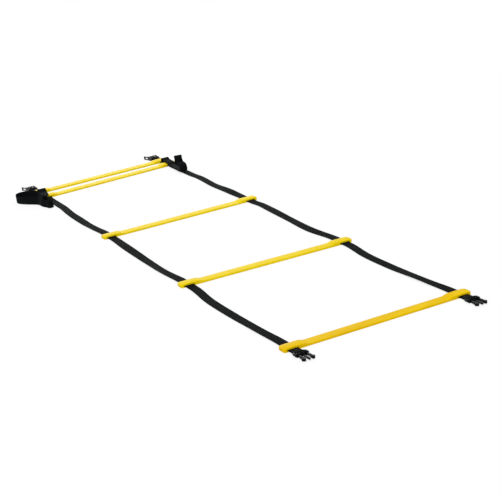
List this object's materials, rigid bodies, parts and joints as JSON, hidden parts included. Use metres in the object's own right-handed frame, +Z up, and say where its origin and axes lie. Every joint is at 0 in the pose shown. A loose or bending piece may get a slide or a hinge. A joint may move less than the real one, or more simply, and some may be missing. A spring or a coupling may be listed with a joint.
{
  "type": "agility ladder",
  "caption": "Floor ladder of flat rungs on two webbing straps, with buckle halves at both ends and the last bay's webbing gathered beside its rungs.",
  "frame": {"origin": "on the floor under the middle of the front rung", "axes": "+X along the rungs to the right, +Y from the front rung along the straps to the gathered end, +Z up"},
  "size_m": [0.505, 1.7384, 0.0483],
  "materials": {
    "yellow_rung": "satin moulded plastic",
    "webbing": "flat woven charcoal webbing",
    "buckle": "black moulded plastic with a soft sheen"
  },
  "bodies": {
    "crossing_3": {"webbing_left_at_rung_3": "webbing", "webbing_right_at_rung_3": "webbing"},
    "rung_3": {"rung_3": "yellow_rung"},
    "bay_3_near": {"webbing_left_bay_3_near": "webbing", "webbing_right_bay_3_near": "webbing"},
    "bay_3_far": {"webbing_left_bay_3_far": "webbing", "webbing_right_bay_3_far": "webbing"},
    "gathered_end": {"rung_4": "yellow_rung", "rung_5": "yellow_rung", "webbing_left_gathered": "webbing", "webbing_right_gathered": "webbing", "webbing_left_far_end": "webbing", "webbing_right_far_end": "webbing"},
    "female_buckle_left": {"female_buckle_left": "buckle"},
    "female_buckle_right": {"female_buckle_right": "buckle"},
    "bay_2_far": {"webbing_left_bay_2_far": "webbing", "webbing_right_bay_2_far": "webbing"},
    "bay_2_near": {"webbing_left_bay_2_near": "webbing", "webbing_right_bay_2_near": "webbing"},
    "crossing_2": {"webbing_left_at_rung_2": "webbing", "webbing_right_at_rung_2": "webbing"},
    "rung_2": {"rung_2": "yellow_rung"},
    "bay_1_far": {"webbing_left_bay_1_far": "webbing", "webbing_right_bay_1_far": "webbing"},
    "bay_1_near": {"webbing_left_bay_1_near": "webbing", "webbing_right_bay_1_near": "webbing"},
    "front_end": {"webbing_left_front_end": "webbing", "webbing_right_front_end": "webbing"},
    "rung_1": {"rung_1": "yellow_rung"},
    "male_buckle_left": {"male_buckle_left_body": "buckle"},
    "male_buckle_right": {"male_buckle_right_body": "buckle"},
    "left_buckle_left_prong": {"male_buckle_left_prong_left": "buckle"},
    "left_buckle_right_prong": {"male_buckle_left_prong_right": "buckle"},
    "right_buckle_left_prong": {"male_buckle_right_prong_left": "buckle"},
    "right_buckle_right_prong": {"male_buckle_right_prong_right": "buckle"}
  },
  "joints": [
    {"name": "fold_bay_3", "type": "hinge", "parent": "crossing_3", "child": "bay_3_near", "pos_m": [0, 1.015, 0.0031], "axis": [1, 0, 0], "range_deg": [0, 85]},
    {"name": "fold_bay_3_middle", "type": "hinge", "parent": "bay_3_near", "child": "bay_3_far", "pos_m": [0, 1.1875, 0.0004], "axis": [1, 0, 0], "range_deg": [-170, 0]},
    {"name": "fold_bay_3_far", "type": "hinge", "parent": "bay_3_far", "child": "gathered_end", "pos_m": [0, 1.36, 0.002], "axis": [1, 0, 0], "range_deg": [0, 85]},
    {"name": "rung_3_slide", "type": "slide", "parent": "crossing_3", "child": "rung_3", "axis": [0, 1, 0], "range_m": [-0.01, 0.01]},
    {"name": "fold_bay_2", "type": "hinge", "parent": "crossing_3", "child": "bay_2_far", "pos_m": [0, 0.955, 0.0031], "axis": [-1, 0, 0], "range_deg": [0, 85]},
    {"name": "fold_bay_2_middle", "type": "hinge", "parent": "bay_2_far", "child": "bay_2_near", "pos_m": [0, 0.7375, 0.0004], "axis": [-1, 0, 0], "range_deg": [-170, 0]},
    {"name": "fold_bay_2_near", "type": "hinge", "parent": "bay_2_near", "child": "crossing_2", "pos_m": [0, 0.52, 0.0031], "axis": [-1, 0, 0], "range_deg": [0, 85]},
    {"name": "rung_2_slide", "type": "slide", "parent": "crossing_2", "child": "rung_2", "axis": [0, 1, 0], "range_m": [-0.01, 0.01]},
    {"name": "fold_bay_1", "type": "hinge", "parent": "crossing_2", "child": "bay_1_far", "pos_m": [0, 0.46, 0.0031], "axis": [-1, 0, 0], "range_deg": [0, 85]},
    {"name": "fold_bay_1_middle", "type": "hinge", "parent": "bay_1_far", "child": "bay_1_near", "pos_m": [0, 0.245, 0.0004], "axis": [-1, 0, 0], "range_deg": [-170, 0]},
    {"name": "fold_bay_1_near", "type": "hinge", "parent": "bay_1_near", "child": "front_end", "pos_m": [0, 0.03, 0.0031], "axis": [-1, 0, 0], "range_deg": [0, 85]},
    {"name": "rung_1_slide", "type": "slide", "parent": "front_end", "child": "rung_1", "axis": [0, 1, 0], "range_m": [-0.005, 0.01]},
    {"name": "male_buckle_left_swing", "type": "hinge", "parent": "front_end", "child": "male_buckle_left", "pos_m": [-0.2, -0.04, 0.0047], "axis": [-1, 0, 0], "range_deg": [0, 80]},
    {"name": "male_buckle_right_swing", "type": "hinge", "parent": "front_end", "child": "male_buckle_right", "pos_m": [0.2, -0.04, 0.0047], "axis": [-1, 0, 0], "range_deg": [0, 80]},
    {"name": "left_buckle_left_prong_flex", "type": "hinge", "parent": "male_buckle_left", "child": "left_buckle_left_prong", "pos_m": [-0.2085, -0.0543, 0.0047], "axis": [0, 0, 1], "range_deg": [0, 8], "stiffness_Nm_per_rad": 0.02},
    {"name": "left_buckle_right_prong_flex", "type": "hinge", "parent": "male_buckle_left", "child": "left_buckle_right_prong", "pos_m": [-0.1915, -0.0543, 0.0047], "axis": [0, 0, -1], "range_deg": [0, 8], "stiffness_Nm_per_rad": 0.02},
    {"name": "right_buckle_left_prong_flex", "type": "hinge", "parent": "male_buckle_right", "child": "right_buckle_left_prong", "pos_m": [0.1915, -0.0543, 0.0047], "axis": [0, 0, 1], "range_deg": [0, 8], "stiffness_Nm_per_rad": 0.02},
    {"name": "right_buckle_right_prong_flex", "type": "hinge", "parent": "male_buckle_right", "child": "right_buckle_right_prong", "pos_m": [0.2085, -0.0543, 0.0047], "axis": [0, 0, -1], "range_deg": [0, 8], "stiffness_Nm_per_rad": 0.02},
    {"name": "female_buckle_left_swing", "type": "hinge", "parent": "gathered_end", "child": "female_buckle_left", "pos_m": [-0.20682, 1.60227, 0.0047], "axis": [0.9659, 0.2588, 0], "range_deg": [0, 80]},
    {"name": "female_buckle_right_swing", "type": "hinge", "parent": "gathered_end", "child": "female_buckle_right", "pos_m": [0.19318, 1.61693, 0.0047], "axis": [0.9659, 0.2588, 0], "range_deg": [0, 80]}
  ],
  "couplings": [
    {"joint": "fold_bay_3_middle", "follows": "fold_bay_3", "ratio": -2},
    {"joint": "fold_bay_3_far", "follows": "fold_bay_3", "ratio": 1},
    {"joint": "fold_bay_2_middle", "follows": "fold_bay_2", "ratio": -2},
    {"joint": "fold_bay_2_near", "follows": "fold_bay_2", "ratio": 1},
    {"joint": "fold_bay_1_middle", "follows": "fold_bay_1", "ratio": -2},
    {"joint": "fold_bay_1_near", "follows": "fold_bay_1", "ratio": 1},
    {"joint": "left_buckle_right_prong_flex", "follows": "left_buckle_left_prong_flex", "ratio": 1},
    {"joint": "right_buckle_right_prong_flex", "follows": "right_buckle_left_prong_flex", "ratio": 1}
  ]
}
